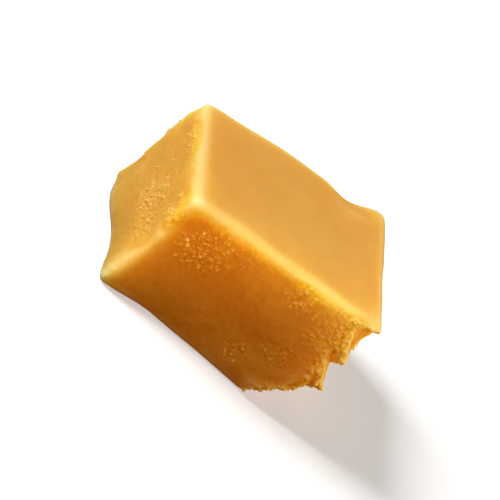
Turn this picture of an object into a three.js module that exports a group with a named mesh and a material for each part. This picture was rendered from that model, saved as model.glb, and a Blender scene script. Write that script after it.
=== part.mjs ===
// A cube of caramel fudge, cut by hand from a poured slab and lying on its flat underside.
// Millimetres, +Z up, +X along its longest side. The origin is under the middle of the cube, on the
// surface that it rests on. The top is the smooth top of the slab, the four sides are knife cuts, and
// the upright edge between the front and the +X end crumbled, with one lower corner broken away.

import * as THREE from "three";
import { SimplexNoise } from "three/addons/math/SimplexNoise.js";
import { mergeVertices } from "three/addons/utils/BufferGeometryUtils.js";

const { clamp, degToRad, lerp, smoothstep } = THREE.MathUtils;

// ---- Driving dimensions, mm ----
const LENGTH = 33.3;
const WIDTH = 23.5;
const THICKNESS = 19.6;
const HALF = new THREE.Vector3(LENGTH, WIDTH, THICKNESS).multiplyScalar(0.5);

// Angles off square, in degrees. Skew turns a cut in plan, lean tips it along the height.
const FRONT_CUT = { skew: -5.1, lean: 3.1 };
const BACK_CUT = { skew: 4.2, lean: -2.3 };
const LEFT_CUT = { skew: -1.3, lean: 1.7 };
const RIGHT_CUT = { skew: 0.3, lean: -2.7 };
const SLAB_TOP = { alongX: 3.7, alongY: 0.3 };
const FRONT_TWIST = 0.8; // how far the knife wandered at each corner of the front

// ---- Rounded edges ----
const TOP_EDGE_RADIUS = 1.15;
const BOTTOM_EDGE_RADIUS = 0.7;
const BOTTOM_EDGE_RISE = 3; // height over which the small radius grows to the large one
const END_EDGE_EXTRA = 0.7; // the slab droops a little towards the +X end
const END_EDGE_START = 0.6; // fraction of the half length where that droop begins

// ---- Dents: place in halves of the cube, reach in mm, and the push in mm at the middle ----
const DENTS = {
  dipInBackTopEdge: { place: [0.6, 1, 1], reach: 5.5, push: [0, -0.5, -0.9] },
  sagOfBackTopEdge: { place: [0.3, 1, 1], reach: 9, push: [0, -0.2, -0.4] },
  wornBackCorner: { place: [-1, 1, -0.75], reach: 7, push: [0.9, -1.1, 0.5] },
  wornBackEdge: { place: [-1, 1, -0.05], reach: 6.5, push: [0.3, -0.9, 0] },
  wornEndFoot: { place: [-1, -0.35, -1], reach: 8, push: [0.9, 0, 0.2] },
  wornNearEdge: { place: [-1, -1, -0.1], reach: 8, push: [0.7, -0.5, 0] },
  spreadNearFoot: { place: [-1, -1, -1], reach: 9.5, push: [0, -1.7, 0] },
  nickInNearEdge: { place: [-1, -1, 0.27], reach: 1.5, push: [0.35, 0.3, 0] },
  nickUnderBackCorner: { place: [-1, 1, 0.84], reach: 1.3, push: [0.3, -0.5, 0] },
  chipOnFoot: { place: [0.55, -1, -0.8], reach: 2.6, push: [0, -0.5, 0] },
  hollowOfFront: { place: [0.15, -1, -0.35], reach: 10, push: [0, 0.4, 0] },
};

// ---- Crumbled edge between the front and the +X end ----
// How far the break reaches on the front and on the end, at drops in mm below the top. Two torn
// tongues stand where it reaches less, with a notch between them, and they slant down to the end.
const BREAK = [
  { drop: 0, front: 1.3, end: 1.3 },
  { drop: 3, front: 3.8, end: 3 },
  { drop: 6, front: 4.6, end: 3 },
  { drop: 7.3, front: 1.4, end: 2.8 },
  { drop: 8.5, front: 1.2, end: 2.4 },
  { drop: 9.6, front: 3.6, end: 4 },
  { drop: 11, front: 4.6, end: 4.6 },
  { drop: 12.1, front: 1, end: 1.4 },
  { drop: 13.3, front: 1.2, end: 1.3 },
  { drop: 14.6, front: 3.2, end: 3.2 },
  { drop: 19, front: 5, end: 5 },
];
const BREAK_START = { depth: 2.2, share: 0.35 }; // it reaches only a share as far at the very top
const TONGUE_SLANT = 48; // degrees down from the level
const LOST_CORNER = new THREE.Vector3(10, 9.1, 9.3); // legs of the missing corner
const CRAG_HEIGHT = 0.6;
const CRAG_SIZE = 1.5;
const CRAG_MARGIN = 0.35; // how softly the crags begin, as a share of the broken width
const CRAG_DIRECTION = new THREE.Vector3(1, -1, -0.5).normalize();

// ---- Relief of the faces ----
const SWELL = { size: 9, height: 0.17 };
const DRAG = { size: 2.6, height: 0.055 }; // torn grain of the knife cuts
const PIT = { size: 1.3, depth: 0.3, edge: 0.7 }; // edge: the noise at which a pit is full
const PIT_PATCHES = {
  middleOfEnd: { place: [-1, -0.15, -0.1], reach: 6 },
  frontNearEnd: { place: [-0.68, -1, 0.45], reach: 5 },
  frontUnderTop: { place: [0.28, -1, 0.66], reach: 4 },
  frontLow: { place: [0.35, -1, -0.4], reach: 4 },
  backMiddle: { place: [0.2, 1, 0.2], reach: 6 },
  farEnd: { place: [1, 0.3, 0.35], reach: 6 },
};
const CUT_FACES = { full: 0.2, none: 0.9 }; // how far the skin may face up and still be a cut
const RELIEF_START = 1.2; // the relief fades out below this height, so that the base stays flat
const NOISE_SEED = 20;

// ---- Grid of the skin: the width of the zone at either end of each axis, and the steps ----
const END_STEP = 0.5; // in the zones at the ends
const BROKEN_ZONE = 4.5;
const GRID = {
  x: { size: LENGTH, low: TOP_EDGE_RADIUS, high: BROKEN_ZONE, step: 1.25 },
  y: { size: WIDTH, low: BROKEN_ZONE, high: TOP_EDGE_RADIUS, step: 1.25 },
  z: { size: THICKNESS, low: BOTTOM_EDGE_RADIUS, high: TOP_EDGE_RADIUS, step: 0.62 },
};

const FUDGE_COLOUR = 0xe0a64e;
const FUDGE_ROUGHNESS = 0.5;

THREE.MathUtils.seededRandom(NOISE_SEED);
const simplex = new SimplexNoise({ random: () => THREE.MathUtils.seededRandom() });

/** Smooth random height between about -1 and 1 whose lumps are about `size` mm wide. */
function lumps(point, size) {
  return simplex.noise3d(point.x / size, point.y / size, point.z / size);
}

/** Number of grid steps in the low end zone, the middle and the high end zone of an axis. */
function stepCounts({ size, low, high, step }) {
  return {
    low: Math.ceil(low / END_STEP),
    middle: Math.ceil((size - low - high) / step),
    high: Math.ceil(high / END_STEP),
  };
}

function totalSteps(axis) {
  const counts = stepCounts(axis);
  return counts.low + counts.middle + counts.high;
}

/** Moves an evenly spaced grid line to its place: fine steps at both ends, coarse ones between. */
function gradedPlace(evenPlace, axis) {
  const counts = stepCounts(axis);
  const step = Math.round((evenPlace / axis.size + 0.5) * totalSteps(axis));
  const fromLow = Math.min(step, counts.low);
  const fromMiddle = clamp(step - counts.low, 0, counts.middle);
  const fromHigh = Math.max(step - counts.low - counts.middle, 0);
  const middle = axis.size - axis.low - axis.high;
  const place =
    (axis.low * fromLow) / counts.low +
    (middle * fromMiddle) / counts.middle +
    (axis.high * fromHigh) / counts.high;
  return place - axis.size / 2;
}

/** Radius of the rounding near a point: small at the foot, larger on top and at the +X end. */
function edgeRadius(point) {
  const height = point.z + HALF.z;
  const upright = lerp(BOTTOM_EDGE_RADIUS, TOP_EDGE_RADIUS, smoothstep(height, 0, BOTTOM_EDGE_RISE));
  const atTop = smoothstep(point.z, 0, HALF.z);
  const atEnd = smoothstep(point.x / HALF.x, END_EDGE_START, 1);
  return upright + END_EDGE_EXTRA * atEnd * atTop;
}

/** Rounds the edges of the square block. Returns the new place and the outward direction there. */
function roundOver(point) {
  const radius = edgeRadius(point);
  const inner = HALF.clone().subScalar(radius);
  const core = point.clone().clamp(inner.clone().negate(), inner);
  const outward = point.clone().sub(core).normalize();
  return { place: core.addScaledVector(outward, radius), outward };
}

/** Where a cut stands: its middle, turned by the skew and tipped by the lean. */
function cutPlace(middle, cut, along, height) {
  return middle + Math.tan(degToRad(cut.skew)) * along + Math.tan(degToRad(cut.lean)) * height;
}

/** Brings the square block to the slab's uneven cuts and sloping top. The underside stays flat. */
function cutFromSlab({ x, y, z }) {
  const across = (x / HALF.x + 1) / 2;
  const deep = (y / HALF.y + 1) / 2;
  const high = (z / HALF.z + 1) / 2;
  const twist = (FRONT_TWIST * x * z) / (HALF.x * HALF.z);
  const top = HALF.z + Math.tan(degToRad(SLAB_TOP.alongX)) * x + Math.tan(degToRad(SLAB_TOP.alongY)) * y;
  return new THREE.Vector3(
    lerp(cutPlace(-HALF.x, LEFT_CUT, y, z), cutPlace(HALF.x, RIGHT_CUT, y, z), across),
    lerp(cutPlace(-HALF.y, FRONT_CUT, x, z) + twist, cutPlace(HALF.y, BACK_CUT, x, z), deep),
    lerp(-HALF.z, top, high),
  );
}

/** Pushes the skin in or out round each dent, smoothly to nothing at its reach. */
function dent(place) {
  for (const { place: halves, reach, push } of Object.values(DENTS)) {
    const middle = cutFromSlab(new THREE.Vector3(...halves).multiply(HALF));
    const strength = 1 - smoothstep(place.distanceTo(middle), 0, reach);
    place.addScaledVector(new THREE.Vector3(...push), strength);
  }
}

/** How strongly a place is pitted: 1 in the middle of a patch of pits, 0 outside all of them. */
function pitting(place) {
  let strength = 0;
  for (const { place: halves, reach } of Object.values(PIT_PATCHES)) {
    const middle = cutFromSlab(new THREE.Vector3(...halves).multiply(HALF));
    strength = Math.max(strength, 1 - smoothstep(place.distanceTo(middle), 0, reach));
  }
  return strength;
}

/** Swells, torn grain and pits, along the outward direction. Nothing moves the underside. */
function roughen(place, outward) {
  const rise = smoothstep(place.z + HALF.z, 0, RELIEF_START);
  const onCut = 1 - smoothstep(outward.z, CUT_FACES.full, CUT_FACES.none);
  const swell = SWELL.height * lumps(place, SWELL.size);
  const drag = DRAG.height * lumps(place, DRAG.size);
  const pit = PIT.depth * pitting(place) * smoothstep(lumps(place, PIT.size), 0, PIT.edge);
  place.addScaledVector(outward, rise * (swell + onCut * (drag - pit)));
}

/** How far the break reaches on the front and on the end, at a drop down the slant. */
function breakReach(drop) {
  const next = BREAK.findIndex((station) => station.drop > drop);
  if (next === -1) return BREAK.at(-1);
  const [from, to] = [BREAK[Math.max(next - 1, 0)], BREAK[next]];
  const share = smoothstep(drop, from.drop, to.drop);
  return { front: lerp(from.front, to.front, share), end: lerp(from.end, to.end, share) };
}

/** Distances of a place from the +X end, the front and the underside. */
function depths(place) {
  const edge = cutFromSlab(new THREE.Vector3(HALF.x, -HALF.y, place.z));
  return { end: edge.x - place.x, front: place.y - edge.y, foot: place.z + HALF.z };
}

/** Takes off the sharp upright edge. Returns how far beyond the break the place was, as a share. */
function loseEdge(place) {
  const depth = depths(place);
  const edgeTop = cutFromSlab(new THREE.Vector3(HALF.x, -HALF.y, HALF.z)).z;
  const drop = edgeTop - place.z;
  const full = breakReach(drop + Math.tan(degToRad(TONGUE_SLANT)) * depth.end);
  const grown = lerp(BREAK_START.share, 1, smoothstep(drop, 0, BREAK_START.depth));
  const reach = { front: full.front * grown, end: full.end * grown };
  const missing = 1 - (depth.end / reach.front + depth.front / reach.end);
  const setBack = Math.max(missing, 0) / 2; // half of the way along each face
  place.x -= setBack * reach.front;
  place.y += setBack * reach.end;
  return missing;
}

/** Takes off the lower corner on a slanted break. Returns how far beyond it the place was. */
function loseCorner(place) {
  const depth = depths(place);
  const legs = LOST_CORNER;
  const missing = 1 - (depth.end / legs.x + depth.front / legs.y + depth.foot / legs.z);
  const setBack = Math.max(missing, 0) / 3; // a third of the way along each leg
  place.x -= setBack * legs.x;
  place.y += setBack * legs.y;
  place.z += setBack * legs.z;
  return missing;
}

/** Breaks off the upright edge and the lower corner, and leaves craggy faces in their place. */
function crumble(place) {
  const missing = Math.max(loseEdge(place), loseCorner(place));
  const broken = smoothstep(missing, -CRAG_MARGIN, CRAG_MARGIN);
  const rise = smoothstep(place.z + HALF.z, 0, RELIEF_START);
  const crag = CRAG_HEIGHT * lumps(place, CRAG_SIZE);
  place.addScaledVector(CRAG_DIRECTION, broken * rise * crag);
}

/** The skin of the whole cube: a graded box grid, rounded, cut, dented, roughened and crumbled. */
function fudgeGeometry() {
  const box = new THREE.BoxGeometry(
    LENGTH,
    WIDTH,
    THICKNESS,
    totalSteps(GRID.x),
    totalSteps(GRID.y),
    totalSteps(GRID.z),
  );
  box.deleteAttribute("normal");
  box.deleteAttribute("uv");
  const skin = mergeVertices(box);
  const positions = skin.getAttribute("position");
  for (let i = 0; i < positions.count; i += 1) {
    const even = new THREE.Vector3().fromBufferAttribute(positions, i);
    const graded = new THREE.Vector3(
      gradedPlace(even.x, GRID.x),
      gradedPlace(even.y, GRID.y),
      gradedPlace(even.z, GRID.z),
    );
    const rounded = roundOver(graded);
    const place = cutFromSlab(rounded.place);
    dent(place);
    roughen(place, rounded.outward);
    crumble(place);
    positions.setXYZ(i, place.x, place.y, place.z);
  }
  return skin;
}

/** Puts the middle of the underside's box at the origin. */
function standOnOrigin(geometry) {
  geometry.computeBoundingBox();
  const { min, max } = geometry.boundingBox;
  geometry.translate(-(min.x + max.x) / 2, -(min.y + max.y) / 2, -min.z);
  geometry.computeVertexNormals();
}

function fudgeCube() {
  const geometry = fudgeGeometry();
  standOnOrigin(geometry);
  const material = new THREE.MeshStandardMaterial({
    color: FUDGE_COLOUR,
    roughness: FUDGE_ROUGHNESS,
    metalness: 0,
  });
  const cube = new THREE.Mesh(geometry, material);
  cube.name = "fudge_cube";
  return cube;
}

const group = new THREE.Group();
group.add(fudgeCube());

export default group;
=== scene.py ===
"""A cube of caramel fudge on a pale studio floor.

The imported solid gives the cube's form. This script casts a fine skin from it, gives that skin the
torn grain of the knife cuts, pits and a crumbled edge, and dresses it as translucent fudge. Lengths
are metres in the frame of the solid: the cube rests on z = 0, its smooth top is up, and its
crumbled edge stands where the front (-Y) meets the +X end.
"""

from __future__ import annotations

import logging
import math
import random
from dataclasses import dataclass, replace
from enum import Enum

import bpy
import numpy as np
from mathutils import Matrix, Vector

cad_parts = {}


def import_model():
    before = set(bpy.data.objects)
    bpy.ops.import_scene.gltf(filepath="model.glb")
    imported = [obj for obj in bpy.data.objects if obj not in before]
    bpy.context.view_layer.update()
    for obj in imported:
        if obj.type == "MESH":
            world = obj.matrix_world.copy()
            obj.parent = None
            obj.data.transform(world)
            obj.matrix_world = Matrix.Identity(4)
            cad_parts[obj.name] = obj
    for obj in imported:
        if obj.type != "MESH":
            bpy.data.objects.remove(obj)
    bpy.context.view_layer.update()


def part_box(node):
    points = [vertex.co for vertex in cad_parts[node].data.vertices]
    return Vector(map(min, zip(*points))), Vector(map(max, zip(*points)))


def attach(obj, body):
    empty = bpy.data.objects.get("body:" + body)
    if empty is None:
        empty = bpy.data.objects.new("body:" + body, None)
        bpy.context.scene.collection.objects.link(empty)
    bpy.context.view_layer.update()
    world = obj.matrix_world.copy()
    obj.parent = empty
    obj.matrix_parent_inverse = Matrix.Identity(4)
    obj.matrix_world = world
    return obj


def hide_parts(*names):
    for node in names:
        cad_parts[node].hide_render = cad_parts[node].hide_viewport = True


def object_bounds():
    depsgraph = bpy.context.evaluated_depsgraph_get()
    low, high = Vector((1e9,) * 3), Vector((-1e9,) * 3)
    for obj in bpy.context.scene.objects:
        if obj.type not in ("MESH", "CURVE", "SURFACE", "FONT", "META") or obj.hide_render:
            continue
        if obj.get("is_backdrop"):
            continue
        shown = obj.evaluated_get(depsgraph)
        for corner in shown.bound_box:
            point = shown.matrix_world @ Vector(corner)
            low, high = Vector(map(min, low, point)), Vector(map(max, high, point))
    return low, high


LOG = logging.getLogger("fudge")
MM = 0.001
GROUP_STEPS = 100  # vertex groups store their weights in steps of one over this

Socket = bpy.types.NodeSocket
Colour = tuple[float, float, float]  # linear red, green and blue
Triple = tuple[float, float, float]  # one number for each of X, Y and Z
Span = tuple[float, float]  # where a smooth rise starts and ends


class Zone(Enum):
    """Parts of the skin that a modifier is limited to, each a vertex group."""

    SOFT = "soft"
    WHOLE = "whole"
    CUT = "cut"
    CRUMBLE = "crumble"
    PITS = "pits"


class Mark(Enum):
    """Numbers that are stored on the skin for its material to read."""

    CUT = "knife_cut"
    CRUMBLED = "crumbled"
    PALE_GRAINS = "pale_grains"
    GRAINY = "grainy"
    UNDER_TOP = "under_top"
    THIN = "thin"
    GLOW = "glow"
    TIP = "tip"


# ---------------------------------------------------------------- helpers


def select_only(piece: bpy.types.Object) -> None:
    """Make one object the only selected and the active one.

    Args:
        piece: The object that the next operators act on.
    """
    bpy.ops.object.select_all(action="DESELECT")
    piece.select_set(True)
    bpy.context.view_layer.objects.active = piece


def apply_modifier(piece: bpy.types.Object, modifier: bpy.types.Modifier) -> None:
    """Apply a modifier to its object's mesh.

    Args:
        piece: The object that carries the modifier.
        modifier: The modifier, with its settings made.
    """
    select_only(piece)
    bpy.ops.object.modifier_apply(modifier=modifier.name)


def settle(piece: bpy.types.Object) -> None:
    """Put an object's place, turn and scale into its mesh, so that it sits at the origin.

    Args:
        piece: The mesh object to settle.
    """
    select_only(piece)
    bpy.ops.object.transform_apply(location=True, rotation=True, scale=True)


def copy_piece(piece: bpy.types.Object) -> bpy.types.Object:
    """Copy an object with a mesh of its own.

    Args:
        piece: The mesh object to copy.

    Returns:
        The copy, in the scene.
    """
    copy = piece.copy()
    copy.data = piece.data.copy()
    bpy.context.scene.collection.objects.link(copy)
    return copy


def join_pieces(base: bpy.types.Object, others: list[bpy.types.Object]) -> None:
    """Join mesh objects into one.

    Args:
        base: The object that the others become part of.
        others: The objects to join to it.
    """
    bpy.ops.object.select_all(action="DESELECT")
    for other in others:
        other.select_set(True)
    base.select_set(True)
    bpy.context.view_layer.objects.active = base
    bpy.ops.object.join()


def smooth(piece: bpy.types.Object, passes: int, zone: Zone | None = None) -> None:
    """Smooth an object's mesh.

    Args:
        piece: The mesh object.
        passes: How many times each vertex moves halfway to the middle of its neighbours.
        zone: The vertex group that limits it, or nothing for all of the mesh.
    """
    modifier = piece.modifiers.new("smooth", "SMOOTH")
    modifier.factor = 0.5
    modifier.iterations = passes
    if zone is not None:
        modifier.vertex_group = zone.value
    apply_modifier(piece, modifier)


def lay_facets(piece: bpy.types.Object, width: float) -> None:
    """Lay even facets over an object and what is joined to it, as one closed surface.

    Args:
        piece: The mesh object.
        width: The width of the facets, in metres.
    """
    modifier = piece.modifiers.new("even_facets", "REMESH")
    modifier.mode = "VOXEL"
    modifier.voxel_size = width
    apply_modifier(piece, modifier)


def vertex_rows(piece: bpy.types.Object, what: str) -> np.ndarray:
    """Read three numbers of each vertex.

    Args:
        piece: A mesh object.
        what: The name of the vertices' property.

    Returns:
        An array of one row of x, y and z for each vertex.
    """
    rows = np.empty(len(piece.data.vertices) * 3, np.float32)
    piece.data.vertices.foreach_get(what, rows)
    return rows.reshape(-1, 3).astype(float)


def vertex_places(piece: bpy.types.Object) -> np.ndarray:
    """Read the places of all vertices.

    Args:
        piece: A mesh object.

    Returns:
        An array of one place for each vertex, in metres.
    """
    return vertex_rows(piece, "co")


def vertex_normals(piece: bpy.types.Object) -> np.ndarray:
    """Read the outward normals of all vertices.

    Args:
        piece: A mesh object.

    Returns:
        An array of one unit vector for each vertex.
    """
    return vertex_rows(piece, "normal")


def smooth_step(values: np.ndarray, low: float, high: float) -> np.ndarray:
    """Rise smoothly from 0 at low to 1 at high.

    Args:
        values: The values to map.
        low: Where the rise starts.
        high: Where the rise ends.

    Returns:
        An array of shares from 0 to 1.
    """
    share = np.clip((values - low) / (high - low), 0.0, 1.0)
    return share * share * (3.0 - 2.0 * share)


def write_group(piece: bpy.types.Object, zone: Zone, weights: np.ndarray) -> None:
    """Store one weight for each vertex as a vertex group.

    Args:
        piece: The mesh object.
        zone: The group.
        weights: A share from 0 to 1 for each vertex.
    """
    group = piece.vertex_groups.new(name=zone.value)
    levels = np.rint(np.clip(weights, 0.0, 1.0) * GROUP_STEPS).astype(int)
    for level in np.unique(levels[levels > 0]):
        members = np.flatnonzero(levels == level).tolist()
        group.add(members, float(level) / GROUP_STEPS, "REPLACE")


def write_attribute(piece: bpy.types.Object, mark: Mark, values: np.ndarray) -> None:
    """Store one number for each vertex as an attribute that materials can read.

    Args:
        piece: The mesh object.
        mark: The attribute.
        values: One number for each vertex.
    """
    attribute = piece.data.attributes.new(mark.value, "FLOAT", "POINT")
    attribute.data.foreach_set("value", values.astype(np.float32))


# ---------------------------------------------------------------- relief of the skin


class Texture(Enum):
    """Kinds of random height that the relief is made from."""

    CLOUDS = "CLOUDS"
    CELLS = "VORONOI"


@dataclass(frozen=True)
class Relief:
    """One layer of fine relief, pushed along the skin's normals.

    Attributes:
        name: What the layer is on the real piece.
        texture: The kind of random height.
        size: Width of its lumps, in metres.
        height: Full height from its lowest to its highest places, in metres.
        zone: The part of the skin that has it.
        middle: The texture value that stays where it is.
        depth: How many finer copies of the clouds are added.
        stretch: How much longer the lumps are along X, Y and Z.
        dip: Degrees that X is turned down towards -Z before the stretch.
    """

    name: str
    texture: Texture
    size: float
    height: float
    zone: Zone
    middle: float = 0.5
    depth: int = 1
    stretch: Triple = (1.0, 1.0, 1.0)
    dip: float = 0.0

    def carve(self, piece: bpy.types.Object) -> None:
        """Push the piece's vertices by this layer.

        Args:
            piece: The mesh object, which has the layer's vertex group.
        """
        texture = bpy.data.textures.new(self.name, self.texture.value)
        texture.noise_scale = self.size
        if self.texture is Texture.CLOUDS:
            texture.noise_depth = self.depth
            texture.noise_basis = "IMPROVED_PERLIN"
        frame = bpy.data.objects.new(self.name, None)
        frame.scale = self.stretch
        frame.rotation_euler.y = math.radians(self.dip)
        bpy.context.scene.collection.objects.link(frame)
        bpy.context.view_layer.update()
        modifier = piece.modifiers.new(self.name, "DISPLACE")
        modifier.texture = texture
        modifier.texture_coords = "OBJECT"
        modifier.texture_coords_object = frame
        modifier.direction = "NORMAL"
        modifier.strength = self.height
        modifier.mid_level = self.middle
        modifier.vertex_group = self.zone.value
        apply_modifier(piece, modifier)
        bpy.data.textures.remove(texture)
        bpy.data.objects.remove(frame)


@dataclass(frozen=True)
class Prominence:
    """How far each vertex stands out of, or lies below, the form round it, as an attribute.

    Attributes:
        mark: The attribute, which is 0.5 on an even stretch.
        fine: How many smoothing passes take away the relief that is too fine to count.
        broad: How many more passes give the form round a vertex.
        full: The height above that form at which the attribute is 1, in metres.
    """

    mark: Mark
    fine: int
    broad: int
    full: float

    def write(self, skin: bpy.types.Object) -> None:
        """Measure the skin and write the attribute.

        Args:
            skin: The skin, with even facets.
        """
        blurred = copy_piece(skin)
        smooth(blurred, self.fine)
        places = vertex_places(blurred)
        smooth(blurred, self.broad)
        proud = np.sum((places - vertex_places(blurred)) * vertex_normals(skin), axis=1)
        bpy.data.objects.remove(blurred)
        write_attribute(skin, self.mark, np.clip(0.5 + 0.5 * proud / self.full, 0.0, 1.0))


@dataclass(frozen=True)
class Patch:
    """A round patch of the skin.

    Attributes:
        place: Its middle as shares of the solid's box, from 0 to 1 along X, Y and Z.
        reach: Its radius, in metres.
        grains: How many sugar grains lie on it.
        grain_size: Size of its grains over the usual size.
        paleness: How pale its grains are, from 0 to 1: paler sugar, partly a painted highlight.
        core: The share of its radius over which it has its full weight.
    """

    place: Triple
    reach: float
    grains: int = 30
    grain_size: float = 1.0
    paleness: float = 0.3
    core: float = 0.2

    def weights(self, places: np.ndarray, low: Vector, high: Vector) -> np.ndarray:
        """Say how strongly each vertex lies in the patch.

        Args:
            places: The vertices' places.
            low: Lowest corner of the solid's box.
            high: Highest corner of the solid's box.

        Returns:
            1 in the middle of the patch, falling smoothly to 0 at its reach.
        """
        size = np.array(high - low)
        middle = np.array(low) + size * np.array(self.place)
        distance = np.linalg.norm(places - middle, axis=1)
        return 1.0 - smooth_step(distance, self.core * self.reach, self.reach)


# ---------------------------------------------------------------- crumbs


@dataclass(frozen=True)
class Crumbs:
    """Angular crumbs that are scattered over part of a skin, half sunk in it.

    Attributes:
        smallest: Width of the smallest, in metres.
        largest: Width of the largest, in metres.
        stretch: Length of the longest over its width.
        along: The direction of their length.
        sink: How deep a crumb's middle lies under the skin, as the most and least share of its
            width.
        seed: Start of the random draws.
        roundness: 0 for a crumb as angular as a cube, 1 for a round one.
        stray: How far their length strays from its direction: the spread of each part of it.
        flattest: Thickness of the flattest over its width.
        block: Width of the cube that a crumb is shaped from, over the crumb's width.
        dents: How far the cube's vertices are moved at random, over the crumb's width.
    """

    smallest: float
    largest: float
    stretch: float
    along: Triple
    sink: Span
    seed: int
    roundness: float = 0.5
    stray: float = 0.35
    flattest: float = 0.6
    block: float = 0.8
    dents: float = 0.12

    def scatter(
        self,
        skin: bpy.types.Object,
        weights: np.ndarray,
        count: int,
        growth: np.ndarray | None = None,
    ) -> list[bpy.types.Object]:
        """Scatter crumbs over the skin, more small ones than large ones.

        Args:
            skin: The skin that they sit on.
            weights: How likely a crumb is at each vertex.
            count: How many crumbs there are.
            growth: The share of its width that a crumb has at each vertex, or nothing for all of
                it.

        Returns:
            The crumbs, each a mesh object.
        """
        rng = random.Random(self.seed)
        places, normals = vertex_places(skin), vertex_normals(skin)
        spots = rng.choices(range(len(places)), weights.tolist(), k=count)
        model = self.model()
        crumbs = []
        for spot in spots:
            width = self.smallest + (self.largest - self.smallest) * rng.random() ** 2
            if growth is not None:
                width *= growth[spot]
            crumb = copy_piece(model)
            inward = Vector(normals[spot]) * rng.uniform(*self.sink) * width
            crumb.location = Vector(places[spot]) - inward
            jitter = Vector([rng.gauss(0, self.stray) for _ in range(3)])
            turn = (Vector(self.along) + jitter).to_track_quat("Z", "Y").to_matrix().to_4x4()
            spin = Matrix.Rotation(rng.uniform(0, math.tau), 4, "Z")
            crumb.rotation_euler = (turn @ spin).to_euler()
            thickness = width * rng.uniform(self.flattest, 1.0)
            crumb.scale = (width, thickness, width * rng.uniform(1.0, self.stretch))
            crumbs.append(crumb)
        bpy.data.objects.remove(model)
        return crumbs

    def model(self) -> bpy.types.Object:
        """Model one angular crumb, one unit wide.

        Returns:
            The crumb, at the origin.
        """
        bpy.ops.object.select_all(action="DESELECT")
        bpy.ops.mesh.primitive_cube_add(size=self.block)
        crumb = bpy.context.object
        bpy.ops.object.mode_set(mode="EDIT")
        bpy.ops.mesh.select_all(action="SELECT")
        bpy.ops.mesh.subdivide(number_cuts=2)
        bpy.ops.transform.tosphere(value=self.roundness)
        bpy.ops.transform.vertex_random(
            offset=self.dents, uniform=0.0, normal=0.0, seed=self.seed
        )
        bpy.ops.object.mode_set(mode="OBJECT")
        return crumb


@dataclass(frozen=True)
class CrumbledEdge:
    """The crumbled edge: the upright edge at the front of the +X end, and the lost corner below.

    Attributes:
        front_reach: How far it reaches along the front face at half the cube's height, in metres.
        front_growth: How many metres further it reaches per metre up.
        end_reach: How far it reaches round the edge onto the end, in metres.
        edge_depth: How far behind the front of the box the upright edge lies, in metres.
        edge_fade: The shares of that reach over which it fades out.
        top_fade: The upward parts of the normal over which it fades out towards the top.
        corner_reach: How far the lost lower corner reaches along X, Y and Z, in metres.
        corner_fade: The shares of the corner's reach over which it fades out.
    """

    front_reach: float = 7.6 * MM
    front_growth: float = 0.5
    end_reach: float = 3.4 * MM
    edge_depth: float = 2.0 * MM
    edge_fade: Span = (0.25, 1.0)
    top_fade: Span = (0.25, 0.6)
    corner_reach: Triple = (8.2 * MM, 8.5 * MM, 6.4 * MM)
    corner_fade: Span = (0.8, 1.15)

    def weights(
        self, places: np.ndarray, normals: np.ndarray, low: Vector, high: Vector
    ) -> np.ndarray:
        """Say how strongly each vertex lies in the crumbled zone.

        Args:
            places: The vertices' places.
            normals: The vertices' outward normals.
            low: Lowest corner of the solid's box.
            high: Highest corner of the solid's box.

        Returns:
            A share from 0 to 1 for each vertex.
        """
        across = high.x - places[:, 0]
        depth = places[:, 1] - low.y
        up = places[:, 2] - (low.z + high.z) / 2
        reach = self.front_reach + self.front_growth * up
        share = across / reach + np.clip(depth - self.edge_depth, 0.0, None) / self.end_reach
        under_top = 1.0 - smooth_step(normals[:, 2], *self.top_fade)
        corner = np.array((high.x, low.y, low.z))
        from_corner = np.linalg.norm((places - corner) / np.array(self.corner_reach), axis=1)
        broken = 1.0 - smooth_step(from_corner, *self.corner_fade)
        return np.maximum((1.0 - smooth_step(share, *self.edge_fade)) * under_top, broken)


# ---------------------------------------------------------------- the cube


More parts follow.
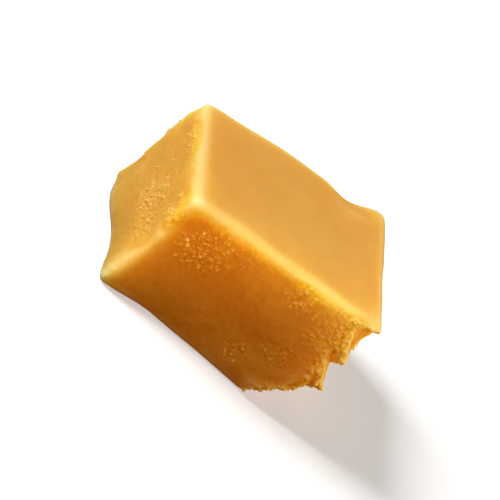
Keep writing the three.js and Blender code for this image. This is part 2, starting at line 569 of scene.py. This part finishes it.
@dataclass
class FudgeCube:
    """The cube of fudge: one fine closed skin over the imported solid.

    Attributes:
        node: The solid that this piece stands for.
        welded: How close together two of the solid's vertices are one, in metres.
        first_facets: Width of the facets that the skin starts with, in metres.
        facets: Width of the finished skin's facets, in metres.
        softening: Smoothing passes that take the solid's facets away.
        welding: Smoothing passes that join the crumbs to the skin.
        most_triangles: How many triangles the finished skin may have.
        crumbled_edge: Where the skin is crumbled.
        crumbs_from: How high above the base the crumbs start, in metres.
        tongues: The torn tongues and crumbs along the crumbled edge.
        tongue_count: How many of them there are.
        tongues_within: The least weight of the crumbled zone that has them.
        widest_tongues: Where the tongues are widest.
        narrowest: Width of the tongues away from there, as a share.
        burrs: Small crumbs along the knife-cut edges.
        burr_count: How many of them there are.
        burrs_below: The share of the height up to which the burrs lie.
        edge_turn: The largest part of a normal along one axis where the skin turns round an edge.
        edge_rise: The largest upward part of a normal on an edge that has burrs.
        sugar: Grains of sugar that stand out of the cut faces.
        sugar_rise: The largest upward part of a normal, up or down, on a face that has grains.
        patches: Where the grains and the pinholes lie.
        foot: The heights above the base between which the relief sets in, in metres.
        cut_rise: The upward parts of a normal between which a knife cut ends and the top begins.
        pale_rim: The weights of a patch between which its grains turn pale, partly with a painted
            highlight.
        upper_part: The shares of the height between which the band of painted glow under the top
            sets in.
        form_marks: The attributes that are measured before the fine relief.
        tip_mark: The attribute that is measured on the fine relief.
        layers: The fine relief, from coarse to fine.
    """

    node: str = "fudge_cube"
    welded: float = 0.001 * MM
    first_facets: float = 0.25 * MM
    facets: float = 0.115 * MM
    softening: int = 14
    welding: int = 2
    most_triangles: int = 190_000
    crumbled_edge: CrumbledEdge = CrumbledEdge()
    crumbs_from: float = 0.6 * MM
    tongues: Crumbs = Crumbs(0.4 * MM, 1.15 * MM, 1.3, (0.67, -0.1, -0.74), (0.42, 0.12), 31)
    tongue_count: int = 400
    tongues_within: float = 0.5
    widest_tongues: Patch = Patch((0.93, 0.08, 0.40), 9.0 * MM)
    narrowest: float = 0.5
    burrs: Crumbs = Crumbs(0.25 * MM, 0.75 * MM, 2.0, (0.3, 0.3, 1.0), (0.45, 0.15), 5)
    burr_count: int = 120
    burrs_below: float = 0.75
    edge_turn: float = 0.9
    edge_rise: float = 0.2
    sugar: Crumbs = Crumbs(0.36 * MM, 0.56 * MM, 3.0, (0.9, 0.0, 0.4), (0.32, 0.06), 8, 0.35)
    sugar_rise: float = 0.5
    patches: tuple[Patch, ...] = (
        Patch((0.02, 0.42, 0.47), 6.4 * MM, 56, 0.82, 0.3),
        Patch((0.02, 0.20, 0.68), 3.6 * MM, 18, 0.8, 0.4),
        Patch((0.02, 0.28, 0.40), 5.0 * MM, 8, 0.8),
        Patch((0.02, 0.62, 0.78), 4.5 * MM, 10, 0.8),
        Patch((0.205, 0.08, 0.64), 5.2 * MM, 150, 1.15, 1.0),
        Patch((0.34, 0.06, 0.76), 3.0 * MM, 16, 0.8, 0.8),
        Patch((0.62, 0.03, 0.80), 4.4 * MM, 46, 0.75, 0.6),
        Patch((0.61, 0.03, 0.21), 2.8 * MM, 12, 0.75, 0.8),
        Patch((0.74, 0.03, 0.40), 3.6 * MM, 22, 0.7, 0.6),
        Patch((0.78, 0.03, 0.72), 4.0 * MM, 54, 0.7, 0.6),
        Patch((0.84, 0.06, 0.97), 2.6 * MM, 22, 0.9, 0.8),
        Patch((0.60, 0.97, 0.60), 8.0 * MM, 70, 0.9),
        Patch((0.20, 0.97, 0.35), 4.0 * MM, 20, 0.9),
        Patch((0.98, 0.62, 0.68), 7.0 * MM, 60, 0.9),
    )
    foot: Span = (0.1 * MM, 1.0 * MM)
    cut_rise: Span = (0.3, 0.8)
    pale_rim: Span = (0.0, 0.3)
    upper_part: Span = (0.45, 0.75)
    form_marks: tuple[Prominence, ...] = (
        Prominence(Mark.THIN, 60, 100, 0.10 * MM),
        # the broad form that the painted glow under the top follows
        Prominence(Mark.GLOW, 160, 900, 0.33 * MM),
    )
    tip_mark: Prominence = Prominence(Mark.TIP, 0, 20, 0.11 * MM)
    layers: tuple[Relief, ...] = (
        Relief("settled_top", Texture.CLOUDS, 3.0 * MM, 0.05 * MM, Zone.WHOLE),
        Relief("knife_swell", Texture.CLOUDS, 2.0 * MM, 0.26 * MM, Zone.CUT),
        Relief("torn_grain", Texture.CLOUDS, 0.9 * MM, 0.12 * MM, Zone.CUT, depth=2),
        Relief("pinholes", Texture.CLOUDS, 0.5 * MM, 0.55 * MM, Zone.PITS),
        Relief(
            "streaks", Texture.CLOUDS, 0.7 * MM, 0.5 * MM, Zone.CRUMBLE,
            stretch=(2.0, 1.0, 1.0), dip=48.0,
        ),
        Relief("crags", Texture.CLOUDS, 0.6 * MM, 0.45 * MM, Zone.CRUMBLE, depth=2),
        Relief("crumbs", Texture.CELLS, 0.62 * MM, -0.42 * MM, Zone.CRUMBLE, middle=0.3),
    )

    def build(self) -> bpy.types.Object:
        """Model the cube's skin.

        Returns:
            The finished mesh object, at the origin.
        """
        low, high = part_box(self.node)
        skin = self._cast()
        self._soften(skin, low, high)
        join_pieces(skin, self._crumbs(skin, low, high))
        lay_facets(skin, self.facets)
        smooth(skin, self.welding)
        self._mark(skin, low, high)
        for mark in self.form_marks:
            mark.write(skin)
        for layer in self.layers:
            layer.carve(skin)
            LOG.info("relief layer %s carved", layer.name)
        self.tip_mark.write(skin)
        self._thin_out(skin)
        select_only(skin)
        bpy.ops.object.shade_smooth()
        skin.vertex_groups.clear()
        return skin

    def _cast(self) -> bpy.types.Object:
        """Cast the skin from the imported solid, its loose triangles merged, with even facets.

        Returns:
            The skin, as a closed mesh object.
        """
        skin = copy_piece(bpy.data.objects[self.node])
        skin.name = skin.data.name = "fudge"
        skin.data.materials.clear()
        select_only(skin)
        bpy.ops.object.mode_set(mode="EDIT")
        bpy.ops.mesh.select_all(action="SELECT")
        bpy.ops.mesh.remove_doubles(threshold=self.welded)
        bpy.ops.object.mode_set(mode="OBJECT")
        lay_facets(skin, self.first_facets)
        return skin

    def _soften(self, skin: bpy.types.Object, low: Vector, high: Vector) -> None:
        """Smooth the solid's facets away, except where it is crumbled.

        Args:
            skin: The cast skin.
            low: Lowest corner of the solid's box.
            high: Highest corner of the solid's box.
        """
        places, normals = vertex_places(skin), vertex_normals(skin)
        broken = self.crumbled_edge.weights(places, normals, low, high)
        write_group(skin, Zone.SOFT, 1.0 - broken)
        smooth(skin, self.softening, Zone.SOFT)
        skin.vertex_groups.clear()

    def _crumbs(
        self, skin: bpy.types.Object, low: Vector, high: Vector
    ) -> list[bpy.types.Object]:
        """Scatter the tongues, the burrs and the sugar grains.

        Args:
            skin: The softened skin.
            low: Lowest corner of the solid's box.
            high: Highest corner of the solid's box.

        Returns:
            All crumbs, each a mesh object.
        """
        places, normals = vertex_places(skin), vertex_normals(skin)
        height = (places[:, 2] - low.z) / (high.z - low.z)
        off_floor = (places[:, 2] > low.z + self.crumbs_from).astype(float)

        broken = self.crumbled_edge.weights(places, normals, low, high) > self.tongues_within
        widest = self.widest_tongues.weights(places, low, high)
        growth = self.narrowest + (1.0 - self.narrowest) * widest
        crumbs = self.tongues.scatter(skin, broken * off_floor, self.tongue_count, growth)

        turned = np.abs(normals).max(axis=1) < self.edge_turn
        edge = turned * (normals[:, 2] < self.edge_rise) * off_floor
        low_edge = edge * (height < self.burrs_below)
        crumbs += self.burrs.scatter(skin, low_edge, self.burr_count)

        cut = (np.abs(normals[:, 2]) < self.sugar_rise) * off_floor
        for number, patch in enumerate(self.patches):
            grains = replace(
                self.sugar,
                smallest=self.sugar.smallest * patch.grain_size,
                largest=self.sugar.largest * patch.grain_size,
                seed=self.sugar.seed + number,
            )
            weights = patch.weights(places, low, high) ** 2 * cut
            crumbs += grains.scatter(skin, weights, patch.grains)
        return crumbs

    def _mark(self, skin: bpy.types.Object, low: Vector, high: Vector) -> None:
        """Write the vertex groups for the relief and the attributes that only need the place.

        Args:
            skin: The refined skin.
            low: Lowest corner of the solid's box.
            high: Highest corner of the solid's box.
        """
        places, normals = vertex_places(skin), vertex_normals(skin)
        height = places[:, 2] - low.z
        off_floor = smooth_step(height, *self.foot)
        cut = (1.0 - smooth_step(np.abs(normals[:, 2]), *self.cut_rise)) * off_floor
        crumble = self.crumbled_edge.weights(places, normals, low, high) * off_floor
        # where the painted glow under the top sets in
        under_top = smooth_step(height / (high.z - low.z), *self.upper_part)
        pits = np.zeros(len(places))
        pale = crumble.copy()
        for patch in self.patches:
            weights = patch.weights(places, low, high)
            pits = np.maximum(pits, weights)
            pale = np.maximum(pale, patch.paleness * smooth_step(weights, *self.pale_rim))
        write_group(skin, Zone.WHOLE, off_floor)
        write_group(skin, Zone.CUT, cut)
        write_group(skin, Zone.CRUMBLE, crumble)
        write_group(skin, Zone.PITS, pits * cut)
        write_attribute(skin, Mark.CUT, cut)
        write_attribute(skin, Mark.CRUMBLED, crumble)
        write_attribute(skin, Mark.PALE_GRAINS, pale)
        write_attribute(skin, Mark.GRAINY, pits * cut)
        write_attribute(skin, Mark.UNDER_TOP, under_top)

    def _thin_out(self, skin: bpy.types.Object) -> None:
        """Merge facets where the skin is even, until the piece is light enough.

        Args:
            skin: The carved skin.
        """
        triangles = sum(len(face.vertices) - 2 for face in skin.data.polygons)
        modifier = skin.modifiers.new("thin_out", "DECIMATE")
        modifier.ratio = min(1.0, self.most_triangles / triangles)
        apply_modifier(skin, modifier)


# ---------------------------------------------------------------- finishes


@dataclass(frozen=True)
class Ramp:
    """A straight line from one range of values to another, level beyond its ends.

    Attributes:
        start: The value where the line starts.
        end: The value where the line ends.
        first: The result at the start.
        last: The result at the end.
    """

    start: float
    end: float
    first: float = 0.0
    last: float = 1.0


@dataclass(frozen=True)
class NodeTree:
    """Short ways to add nodes to a material.

    Attributes:
        tree: The material's node tree.
    """

    tree: bpy.types.NodeTree

    def link(self, source: Socket | float | Colour, target: Socket) -> None:
        """Feed a socket from another socket or with a fixed value.

        Args:
            source: A socket, a number or a colour.
            target: The input that it feeds.
        """
        if isinstance(source, Socket):
            self.tree.links.new(source, target)
        elif isinstance(source, tuple):
            target.default_value = (*source, 1.0)
        else:
            target.default_value = source

    def attribute(self, mark: Mark) -> Socket:
        """Read a number that is stored on the mesh.

        Args:
            mark: The attribute.

        Returns:
            Its value.
        """
        node = self.tree.nodes.new("ShaderNodeAttribute")
        node.attribute_name = mark.value
        return node.outputs["Fac"]

    def noise(self, size: float, detail: float) -> Socket:
        """Add random clouds that stay fixed on the object.

        Args:
            size: Width of the clouds, in metres.
            detail: How many finer layers they have.

        Returns:
            A value round 0.5.
        """
        place = self.tree.nodes.new("ShaderNodeTexCoord")
        node = self.tree.nodes.new("ShaderNodeTexNoise")
        node.inputs["Scale"].default_value = 1.0 / size
        node.inputs["Detail"].default_value = detail
        self.link(place.outputs["Object"], node.inputs["Vector"])
        return node.outputs["Fac"]

    def ramp(self, value: Socket, ramp: Ramp) -> Socket:
        """Map a value by a ramp.

        Args:
            value: The value.
            ramp: The ramp.

        Returns:
            The mapped value.
        """
        node = self.tree.nodes.new("ShaderNodeMapRange")
        self.link(value, node.inputs["Value"])
        node.inputs["From Min"].default_value = ramp.start
        node.inputs["From Max"].default_value = ramp.end
        node.inputs["To Min"].default_value = ramp.first
        node.inputs["To Max"].default_value = ramp.last
        return node.outputs["Result"]

    def math(self, operation: str, first: Socket, second: Socket) -> Socket:
        """Combine two numbers.

        Args:
            operation: The kind of Math node.
            first: The first number.
            second: The second number.

        Returns:
            The result.
        """
        node = self.tree.nodes.new("ShaderNodeMath")
        node.operation = operation
        self.link(first, node.inputs[0])
        self.link(second, node.inputs[1])
        return node.outputs["Value"]

    def mix(self, first: Socket | Colour, second: Socket | Colour, share: Socket) -> Socket:
        """Mix two colours.

        The node has sockets of the same name for each type of data, so they are taken by number:
        inputs 0, 6 and 7 are the share and the two colours, and output 2 is the mixed colour.

        Args:
            first: The colour at a share of 0.
            second: The colour at a share of 1.
            share: The share of the second colour.

        Returns:
            The mixed colour.
        """
        node = self.tree.nodes.new("ShaderNodeMix")
        node.data_type = "RGBA"
        self.link(share, node.inputs[0])
        self.link(first, node.inputs[6])
        self.link(second, node.inputs[7])
        return node.outputs[2]

    def bump(self, height: Socket, distance: float) -> Socket:
        """Turn a height into a normal.

        Args:
            height: The height, from 0 to 1.
            distance: The depth of the full height, in metres.

        Returns:
            The normal.
        """
        node = self.tree.nodes.new("ShaderNodeBump")
        node.inputs["Distance"].default_value = distance
        self.link(height, node.inputs["Height"])
        return node.outputs["Normal"]


@dataclass(frozen=True)
class FudgeFinish:
    """Translucent caramel fudge, mottled, with painted shade in its pits and a painted glow under
    its top; paler along its edges and on its crystals, partly by painted light.

    Attributes:
        body: Colour of the mass.
        top: Colour of the smooth slab top.
        glow: Colour of a painted glow on the cut faces just under the top, standing in for light
            that comes through from the top.
        deep: Colour of the darker mottles, and of the painted shade in the pits.
        pale: Colour of thin edges: painted light coming through them, partly a paler dry crust.
        crystal_and_tip_highlight: Colour of the sugar crystals and of the tips of crumbs: their
            paler sugar, partly a painted highlight on what stands out.
        golden: Colour of the crumbled mass.
        mottle_size: Width of the broad mottles, in metres.
        mottles: How dark they are, over their clouds.
        speck_size: Width of the specks on the cut faces, in metres.
        specks: How dark they are, over their clouds.
        pits: How strongly the pits are painted in shade, over how far they lie under the form round
            them.
        glow_band: How strong the painted glow is, over how far the broad form stands out.
        glow_on_cuts: The share of the painted glow, from the top to the knife cuts.
        thin_edges: How pale the edges are painted, over how far they stand out: light coming
            through thin edges, partly a paler dry crust.
        clear_of_grains: The share of that paleness, over how thickly the grains lie.
        tips: How pale the crystals and crumbs are, over how far they stand out: paler sugar, partly
            a painted highlight.
        scatter: How far red light travels inside, in metres.
        travel: How far red, green and blue light travel, as shares of that.
        translucence: The share of light that goes inside, from the mass to dry crystals.
        refraction: Index of refraction.
        specular: Strength of the surface's own reflection.
        roughness: Roughness, from the smooth slab top to the knife cuts.
        dry_roughness: The least roughness, over how dry and crystalline the surface is.
        fine_grain_size: Width of the finest grain, in metres.
        fine_grain_depth: Depth of the finest grain, in metres.
        fine_grain: The share of that depth, from the top to the knife cuts.
    """

    body: Colour = (0.72, 0.37, 0.056)
    top: Colour = (0.71, 0.37, 0.080)
    glow: Colour = (0.88, 0.55, 0.055)
    deep: Colour = (0.60, 0.27, 0.035)
    pale: Colour = (0.96, 0.68, 0.34)
    crystal_and_tip_highlight: Colour = (0.97, 0.63, 0.18)
    golden: Colour = (0.92, 0.59, 0.13)
    mottle_size: float = 3.5 * MM
    mottles: Ramp = Ramp(0.3, 0.7, 0.25, 0.0)
    speck_size: float = 0.55 * MM
    specks: Ramp = Ramp(0.3, 0.7, 0.45, 0.0)
    pits: Ramp = Ramp(0.42, 0.0, 0.0, 0.9)
    glow_band: Ramp = Ramp(0.53, 0.68, 0.0, 0.9)
    glow_on_cuts: Ramp = Ramp(0.0, 1.0, 0.25, 1.0)
    thin_edges: Ramp = Ramp(0.52, 0.85, 0.0, 0.82)
    clear_of_grains: Ramp = Ramp(0.0, 0.3, 1.0, 0.0)
    tips: Ramp = Ramp(0.56, 0.8)
    scatter: float = 14.0 * MM
    travel: Colour = (1.0, 0.5, 0.08)
    translucence: Ramp = Ramp(0.0, 1.0, 0.7, 0.3)
    refraction: float = 1.45
    specular: float = 0.3
    roughness: Ramp = Ramp(0.0, 1.0, 0.42, 0.58)
    dry_roughness: Ramp = Ramp(0.0, 0.6, 0.0, 0.85)
    fine_grain_size: float = 0.26 * MM
    fine_grain_depth: float = 0.05 * MM
    fine_grain: Ramp = Ramp(0.0, 1.0, 0.15, 1.0)

    def build(self) -> bpy.types.Material:
        """Make the material.

        Returns:
            The node material.
        """
        material = bpy.data.materials.new("caramel_fudge")
        material.use_nodes = True
        tree = NodeTree(material.node_tree)
        shader = material.node_tree.nodes["Principled BSDF"]
        shader.inputs["Subsurface Radius"].default_value = self.travel
        shader.inputs["Subsurface Scale"].default_value = self.scatter
        shader.inputs["IOR"].default_value = self.refraction
        shader.inputs["Specular IOR Level"].default_value = self.specular

        cut = tree.attribute(Mark.CUT)
        crumbled = tree.attribute(Mark.CRUMBLED)
        # pale tips: paler sugar of crystals and crumbs, partly a painted highlight on what stands
        # out
        tips = tree.ramp(tree.attribute(Mark.TIP), self.tips)
        tips = tree.math("MULTIPLY", tips, tree.attribute(Mark.PALE_GRAINS))
        colour = self._colour(tree, cut, crumbled, tips)
        tree.link(colour, shader.inputs["Base Color"])

        dry = tree.math("MAXIMUM", tips, crumbled)
        tree.link(tree.ramp(dry, self.translucence), shader.inputs["Subsurface Weight"])
        rough = tree.ramp(cut, self.roughness)
        rough = tree.math("MAXIMUM", rough, tree.ramp(dry, self.dry_roughness))
        tree.link(rough, shader.inputs["Roughness"])
        height = tree.noise(self.fine_grain_size, 3)
        height = tree.math("MULTIPLY", height, tree.ramp(cut, self.fine_grain))
        tree.link(tree.bump(height, self.fine_grain_depth), shader.inputs["Normal"])
        return material

    def _colour(self, tree: NodeTree, cut: Socket, crumbled: Socket, tips: Socket) -> Socket:
        """Mix the colour, from the mass outwards.

        Args:
            tree: The material's nodes.
            cut: How much a knife cut, from 0 to 1.
            crumbled: How much crumbled, from 0 to 1.
            tips: How much the tip of a pale grain or crumb, from 0 to 1: paler sugar, partly a
                painted highlight.

        Returns:
            The colour.
        """
        # painted glow: light coming through the cut faces just under the top, painted into the
        # colour
        glow = tree.ramp(tree.attribute(Mark.GLOW), self.glow_band)
        glow = tree.math("MULTIPLY", glow, tree.ramp(cut, self.glow_on_cuts))
        glow = tree.math("MULTIPLY", glow, tree.attribute(Mark.UNDER_TOP))
        mottles = tree.ramp(tree.noise(self.mottle_size, 3), self.mottles)
        specks = tree.ramp(tree.noise(self.speck_size, 2), self.specks)
        dark = tree.math("ADD", mottles, tree.math("MULTIPLY", specks, cut))
        # painted shade in the pits, darker the further they lie under the form round them
        pits = tree.ramp(tree.attribute(Mark.TIP), self.pits)
        # paler thin edges: painted light coming through them, partly a paler dry crust
        thin = tree.ramp(tree.attribute(Mark.THIN), self.thin_edges)
        clear = tree.ramp(tree.attribute(Mark.GRAINY), self.clear_of_grains)

        colour = tree.mix(self.top, self.body, cut)
        colour = tree.mix(colour, self.glow, glow)
        colour = tree.mix(colour, self.golden, crumbled)
        # the darker mottles and specks are the fudge's own tone; the pits get painted shade
        colour = tree.mix(colour, self.deep, tree.math("MAXIMUM", dark, pits))
        colour = tree.mix(colour, self.pale, tree.math("MULTIPLY", thin, clear))
        # pale crystals and crumb tips, partly a painted highlight
        return tree.mix(colour, self.crystal_and_tip_highlight, tips)


@dataclass(frozen=True)
class FloorFinish:
    """Plain pale studio floor.

    Attributes:
        colour: Its colour.
        roughness: Its roughness.
    """

    colour: Colour = (0.93, 0.925, 0.92)
    roughness: float = 0.6

    def build(self) -> bpy.types.Material:
        """Make the material.

        Returns:
            The node material.
        """
        material = bpy.data.materials.new("studio_floor")
        material.use_nodes = True
        shader = material.node_tree.nodes["Principled BSDF"]
        shader.inputs["Base Color"].default_value = (*self.colour, 1.0)
        shader.inputs["Roughness"].default_value = self.roughness
        return material


# ---------------------------------------------------------------- studio


def direction(azimuth: float, elevation: float) -> Vector:
    """Point from the cube towards a viewer or a light.

    Args:
        azimuth: Degrees round the cube, 0 in front of it, negative towards -X.
        elevation: Degrees above the floor.

    Returns:
        The unit vector.
    """
    turn, rise = math.radians(azimuth), math.radians(elevation)
    return Vector(
        (math.sin(turn) * math.cos(rise), -math.cos(turn) * math.cos(rise), math.sin(rise))
    )


class Lit(Enum):
    """What a light falls on."""

    EVERYTHING = "everything"
    PIECE = "the piece alone"
    FLOOR = "the floor alone"


@dataclass(frozen=True)
class SoftLight:
    """A soft light that faces the cube. One for the piece alone leaves no sheen on it.

    Attributes:
        name: What the light does.
        azimuth: Degrees round the cube, 0 in front of it, negative towards -X.
        elevation: Degrees above the floor.
        distance: Metres from the middle of the cube.
        size: Width and height of its face, in metres.
        power: Watts.
        colour: Its colour.
        lit: What it falls on.
    """

    name: str
    azimuth: float
    elevation: float
    distance: float
    size: tuple[float, float]
    power: float
    colour: Colour = (1.0, 1.0, 1.0)
    lit: Lit = Lit.EVERYTHING

    def build(self, target: Vector, receivers: dict[Lit, bpy.types.Collection]) -> None:
        """Hang the light.

        Args:
            target: The point that it faces.
            receivers: The objects that each limited kind of light falls on.
        """
        light = bpy.data.lights.new(self.name, "AREA")
        light.shape = "RECTANGLE"
        light.size, light.size_y = self.size
        light.energy = self.power
        light.color = self.colour
        lamp = bpy.data.objects.new(self.name, light)
        toward = direction(self.azimuth, self.elevation)
        lamp.location = target + toward * self.distance
        lamp.rotation_euler = toward.to_track_quat("Z", "Y").to_euler()
        lamp.visible_camera = False
        lamp.visible_glossy = self.lit is not Lit.PIECE
        if self.lit in receivers:
            lamp.light_linking.receiver_collection = receivers[self.lit]
            lamp.light_linking.blocker_collection = receivers[self.lit]
        bpy.context.scene.collection.objects.link(lamp)


@dataclass(frozen=True)
class View:
    """The camera's place and lens.

    Attributes:
        azimuth: Degrees round the cube, 0 in front of it, negative towards -X.
        elevation: Degrees above the floor.
        distance: Metres from the middle of the cube.
        roll: Degrees that the camera is turned round its line of sight.
        lens: Focal length, in millimetres.
    """

    azimuth: float = -30.13
    elevation: float = 30.8
    distance: float = 0.2783
    roll: float = 53.6
    lens: float = 150.0

    def build(self, target: Vector) -> None:
        """Place the camera.

        Args:
            target: The point in the middle of the picture.
        """
        lens = bpy.data.cameras.new("camera")
        lens.lens = self.lens
        camera = bpy.data.objects.new("camera", lens)
        toward = direction(self.azimuth, self.elevation)
        camera.location = target + toward * self.distance
        level = toward.to_track_quat("Z", "Y").to_matrix().to_4x4()
        roll = Matrix.Rotation(math.radians(self.roll), 4, "Z")
        camera.rotation_euler = (level @ roll).to_euler()
        bpy.context.scene.collection.objects.link(camera)
        bpy.context.scene.camera = camera


@dataclass
class Studio:
    """The pale floor, the soft lights, the surrounding light and the camera.

    Attributes:
        floor_size: Width of the floor, in metres.
        floor_gap: How far the floor lies under the cube, in metres.
        surround: Strength of the even light all round.
        surround_colour: Its colour.
        view: The camera's place and lens.
        lights: The soft lights.
    """

    floor_size: float = 2.0
    floor_gap: float = 0.01 * MM
    surround: float = 0.05
    surround_colour: Colour = (1.0, 0.75, 0.4)
    view: View = View()
    lights: tuple[SoftLight, ...] = (
        SoftLight("key", -101, 35, 1.20, (0.40, 0.40), 18.3),
        SoftLight("side", 98, 16, 0.90, (0.60, 0.60), 6.0, (1.0, 0.84, 0.46), Lit.PIECE),
        SoftLight("back", 165, 5, 0.90, (0.60, 0.60), 3.0, (1.0, 0.9, 0.7), Lit.PIECE),
        SoftLight(
            "front_fill", -17, 16, 0.0283, (0.016, 0.010), 0.0014, (1.0, 0.29, 0.0), Lit.PIECE
        ),
        SoftLight(
            "edge_glow", 0, 38, 0.0214, (0.028, 0.003), 0.00086, (0.80, 1.0, 0.52), Lit.PIECE
        ),
        SoftLight(
            "left_glow", -50.3, 0, 0.0266, (0.003, 0.018), 0.0006, (1.0, 0.88, 0.25), Lit.PIECE
        ),
        SoftLight(
            "corner_low", 45, 6, 0.045, (0.02, 0.02), 0.0035, (1.0, 0.50, 0.04), Lit.PIECE
        ),
        SoftLight(
            "corner_high", 60, 40, 0.045, (0.02, 0.02), 0.0026, (1.0, 0.97, 0.88), Lit.PIECE
        ),
        SoftLight("under", 0, -90, 0.12, (0.08, 0.08), 0.02, (1.0, 0.05, 0.0), Lit.PIECE),
        SoftLight("floor_wash", 60, 70, 1.2, (0.9, 0.9), 10.0, lit=Lit.FLOOR),
    )

    def build(self, piece: bpy.types.Object) -> None:
        """Set up the floor, the lights, the surround and the camera.

        Args:
            piece: The piece to show.
        """
        low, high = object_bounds()
        target = (low + high) / 2
        receivers = {
            Lit.PIECE: self._group("piece", piece),
            Lit.FLOOR: self._group("floor", self._floor()),
        }
        for light in self.lights:
            light.build(target, receivers)
        self._surround()
        self.view.build(target)
        bpy.context.scene.view_settings.view_transform = "Standard"

    def _group(self, name: str, member: bpy.types.Object) -> bpy.types.Collection:
        """Put one object into a collection that lights can be limited to.

        Args:
            name: The name of the collection.
            member: The object.

        Returns:
            The collection.
        """
        group = bpy.data.collections.new(name)
        group.objects.link(member)
        return group

    def _floor(self) -> bpy.types.Object:
        """Lay the floor just under the cube.

        Returns:
            The floor.
        """
        bpy.ops.object.select_all(action="DESELECT")
        bpy.ops.mesh.primitive_plane_add(size=self.floor_size, location=(0, 0, -self.floor_gap))
        floor = bpy.context.object
        floor.name = "studio_floor"
        settle(floor)
        floor.data.materials.append(FloorFinish().build())
        floor.visible_diffuse = floor.visible_glossy = False
        floor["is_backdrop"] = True
        return floor

    def _surround(self) -> None:
        """Fill the room with even light."""
        world = bpy.data.worlds.new("studio")
        world.use_nodes = True
        background = world.node_tree.nodes["Background"]
        background.inputs["Color"].default_value = (*self.surround_colour, 1.0)
        background.inputs["Strength"].default_value = self.surround
        bpy.context.scene.world = world


# ---------------------------------------------------------------- the whole scene


def main() -> None:
    """Load the solid, build the cube round it and set up the studio."""
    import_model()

    cube = FudgeCube()
    skin = cube.build()
    skin.data.materials.append(FudgeFinish().build())
    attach(skin, "root")
    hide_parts(cube.node)
    LOG.info("fudge skin of %d faces", len(skin.data.polygons))

    Studio().build(skin)


if __name__ == "__main__":
    logging.basicConfig(level=logging.INFO, format="%(name)s: %(message)s")
    main()
